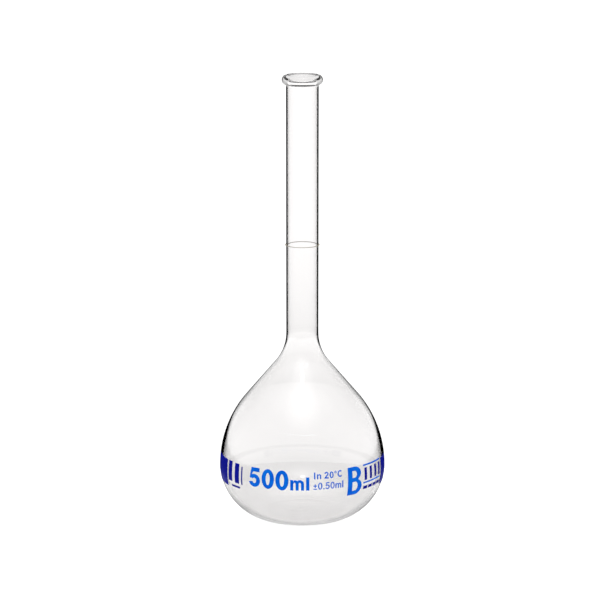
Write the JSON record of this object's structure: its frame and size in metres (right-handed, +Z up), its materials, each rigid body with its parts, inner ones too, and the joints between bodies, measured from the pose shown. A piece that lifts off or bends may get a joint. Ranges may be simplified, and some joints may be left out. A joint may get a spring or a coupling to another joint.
{
  "type": "volumetric flask",
  "caption": "Clear glass volumetric flask with a round bulb, long narrow neck, beaded rim, a fine graduation ring and a blue enamel marking band.",
  "frame": {"origin": "centre of the foot ring on the surface the flask stands on", "axes": "+Z up along the neck; the markings face -Y; +X is to the right seen from the front"},
  "size_m": [0.1022, 0.102, 0.2725],
  "materials": {
    "glass": "clear, fire-polished",
    "print_blue": "fired blue enamel, satin",
    "panel_blue": "fired dark blue enamel, satin",
    "ring_brown": "fine fired enamel line"
  },
  "bodies": {
    "root": {"flask_body": "glass", "graduation_ring": "ring_brown", "capacity_digit_five": "print_blue", "capacity_digit_zero_first": "print_blue", "capacity_digit_zero_second": "print_blue", "capacity_letter_m": "print_blue", "capacity_letter_l": "print_blue", "temperature_letter_i": "print_blue", "temperature_letter_n": "print_blue", "temperature_digit_two": "print_blue", "temperature_digit_zero": "print_blue", "temperature_degree_ring": "print_blue", "temperature_letter_c": "print_blue", "tolerance_plus": "print_blue", "tolerance_minus": "print_blue", "tolerance_digit_zero_first": "print_blue", "tolerance_point": "print_blue", "tolerance_digit_five": "print_blue", "tolerance_digit_zero_second": "print_blue", "tolerance_letter_m": "print_blue", "tolerance_letter_l": "print_blue", "accuracy_class_letter_b": "print_blue", "upper_rule": "print_blue", "lower_rule": "print_blue", "left_narrow_bar": "panel_blue", "left_wide_bar": "panel_blue", "left_thin_strip": "panel_blue", "left_foot_bar": "panel_blue", "left_panel": "panel_blue", "right_panel": "panel_blue", "plain_tick_1": "panel_blue", "plain_tick_2": "panel_blue", "plain_tick_3": "panel_blue", "plain_tick_4": "panel_blue", "plain_dash_1": "panel_blue", "plain_dash_2": "panel_blue", "plain_dash_3": "panel_blue", "plain_dash_4": "panel_blue"}
  },
  "joints": []
}
